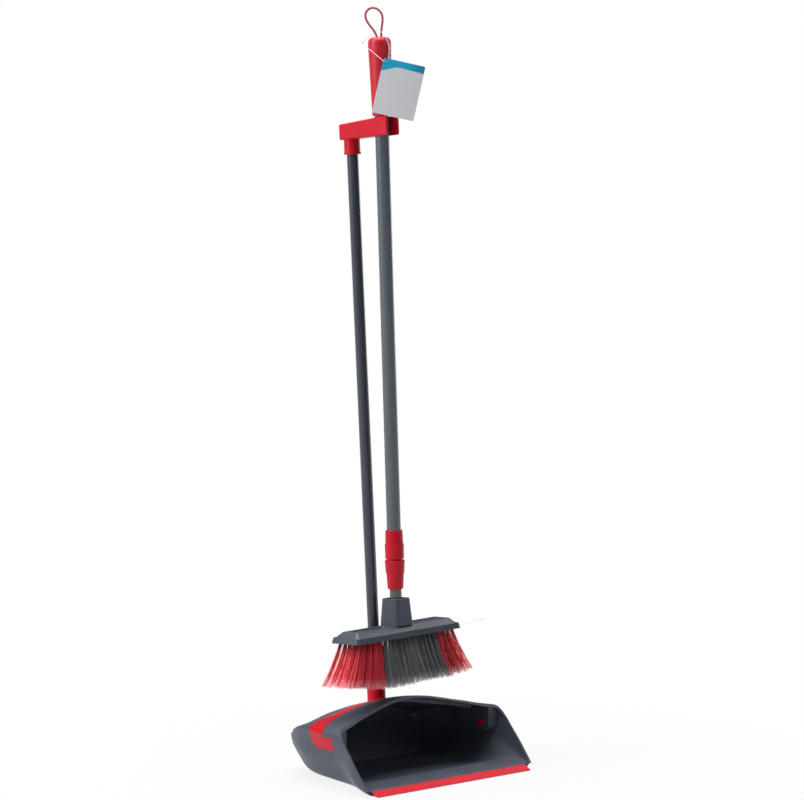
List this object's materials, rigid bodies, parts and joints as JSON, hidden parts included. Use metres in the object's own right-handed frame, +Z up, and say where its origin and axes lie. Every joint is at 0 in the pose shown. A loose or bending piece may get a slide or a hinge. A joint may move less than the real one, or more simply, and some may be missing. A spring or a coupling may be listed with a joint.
{
  "type": "lobby dustpan with broom",
  "caption": "Covered floor dustpan with an upright tube handle, and a telescopic broom clipped in a fork at the handle's top.",
  "frame": {"origin": "on the floor under the pan, 100 mm behind the lip, on the middle line", "axes": "+Z up, +X across the pan, the mouth and lip face -Y"},
  "size_m": [0.2578, 0.2078, 0.9188],
  "materials": {
    "pan_plastic": "satin",
    "head_plastic": "satin",
    "lip_rubber": "matte",
    "red_plastic": "gloss",
    "dark_tube": "gloss",
    "grey_tube": "gloss",
    "black_plastic": "matte",
    "red_bristle": "satin",
    "grey_bristle": "satin",
    "cord_red": "matte",
    "card": "satin",
    "clear_plastic": "gloss"
  },
  "bodies": {
    "dustpan": {"pan_body": "pan_plastic", "pan_lip": "lip_rubber", "bail": "red_plastic", "pan_tube": "dark_tube", "clip_bracket": "red_plastic"},
    "broom_lower": {"inner_tube": "grey_tube", "inner_bush": "black_plastic", "thread_plug": "black_plastic", "broom_head": "head_plastic", "bristles_left": "red_bristle", "bristles_middle": "grey_bristle", "bristles_right": "red_bristle"},
    "broom_upper": {"outer_tube": "grey_tube", "grip": "red_plastic", "hanging_loop": "cord_red", "loop_knot": "cord_red", "lock_sleeve": "red_plastic", "tag_card": "card", "tag_tie": "clear_plastic"},
    "lock_nut": {"lock_nut": "red_plastic"}
  },
  "joints": [
    {"name": "broom_unclip", "type": "slide", "parent": "dustpan", "child": "broom_lower", "axis": [0.1419, -0.9776, 0.1552], "range_m": [0, 0.25]},
    {"name": "telescope", "type": "slide", "parent": "broom_lower", "child": "broom_upper", "axis": [0.0028, 0.0492, 0.9988], "range_m": [0, 0.46]},
    {"name": "lock_twist", "type": "hinge", "parent": "broom_upper", "child": "lock_nut", "pos_m": [0.00709, 0.04416, 0.77345], "axis": [0.0028, 0.0492, 0.9988], "range_deg": [0, 90]}
  ]
}
